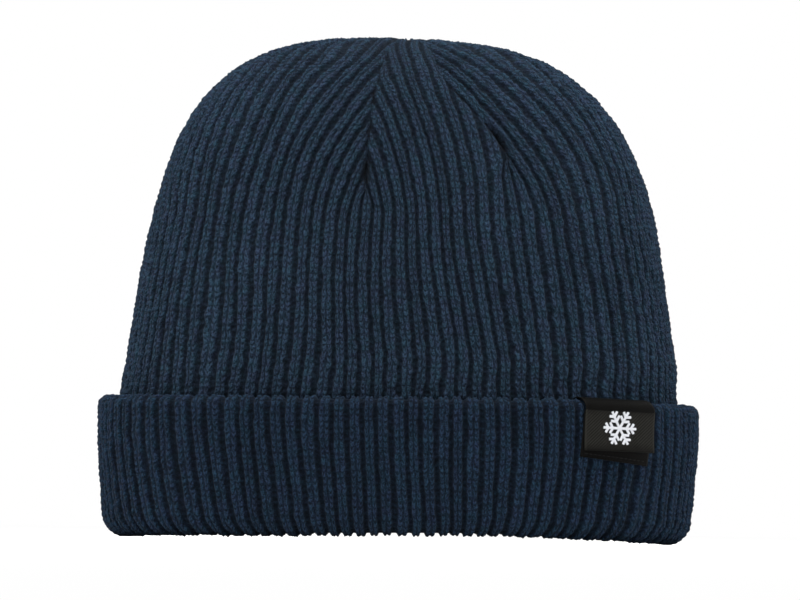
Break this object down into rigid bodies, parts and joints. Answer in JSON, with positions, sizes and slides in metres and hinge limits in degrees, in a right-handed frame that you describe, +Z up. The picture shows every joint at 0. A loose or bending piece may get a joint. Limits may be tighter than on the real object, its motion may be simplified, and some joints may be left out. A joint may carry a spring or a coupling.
{
  "type": "knit beanie",
  "caption": "Double-ply ribbed knit beanie with a domed crown closed by darts, a turned-up cuff and a small folded woven tag on the cuff.",
  "frame": {"origin": "centre of the cap's outline at the flat underside of the cuff's fold", "axes": "+Z up through the top of the crown, +X along the long axis of the oval, the front with the tag faces -Y"},
  "size_m": [0.2216, 0.173, 0.1843],
  "materials": {
    "rib_knit": "matte dark navy 2x2 rib knit",
    "lining_knit": "matte dark navy rib knit",
    "seam_thread": "matte navy yarn",
    "tag_satin": "black woven satin ribbon",
    "tag_thread": "black sewing thread",
    "care_satin": "plain off-white satin ribbon",
    "care_thread": "off-white sewing thread"
  },
  "bodies": {
    "cuff": {"cuff_outer_ply": "rib_knit", "cuff_inner_ply": "rib_knit", "tag_back_leaf": "tag_satin", "tag_stitches": "tag_thread"},
    "crown": {"crown_outer_ply": "rib_knit", "crown_lining_ply": "lining_knit", "dart_seam_outer_front_left": "seam_thread", "dart_seam_outer_front_right": "seam_thread", "dart_seam_outer_back_left": "seam_thread", "dart_seam_outer_back_right": "seam_thread", "dart_seam_outer_side_left": "seam_thread", "dart_seam_outer_side_right": "seam_thread", "dart_seam_lining_front_left": "seam_thread", "dart_seam_lining_front_right": "seam_thread", "dart_seam_lining_back_left": "seam_thread", "dart_seam_lining_back_right": "seam_thread", "dart_seam_lining_side_left": "seam_thread", "dart_seam_lining_side_right": "seam_thread", "closing_knot_outer": "seam_thread", "closing_knot_lining": "seam_thread", "care_label_stitches": "care_thread"},
    "tag_flap": {"tag_flap": "tag_satin"},
    "care_label": {"care_label": "care_satin"}
  },
  "joints": [
    {"name": "cuff_turn_down", "type": "slide", "parent": "cuff", "child": "crown", "axis": [0, 0, 1], "range_m": [0, 0.042]},
    {"name": "tag_flap_lift", "type": "hinge", "parent": "cuff", "child": "tag_flap", "pos_m": [0.08173, -0.06925, 0.04815], "axis": [-0.8078, -0.5895, 0], "range_deg": [0, 110]},
    {"name": "care_label_swing", "type": "hinge", "parent": "crown", "child": "care_label", "pos_m": [0, 0.06717, 0.078], "axis": [-1, 0, 0], "range_deg": [0, 85]}
  ]
}
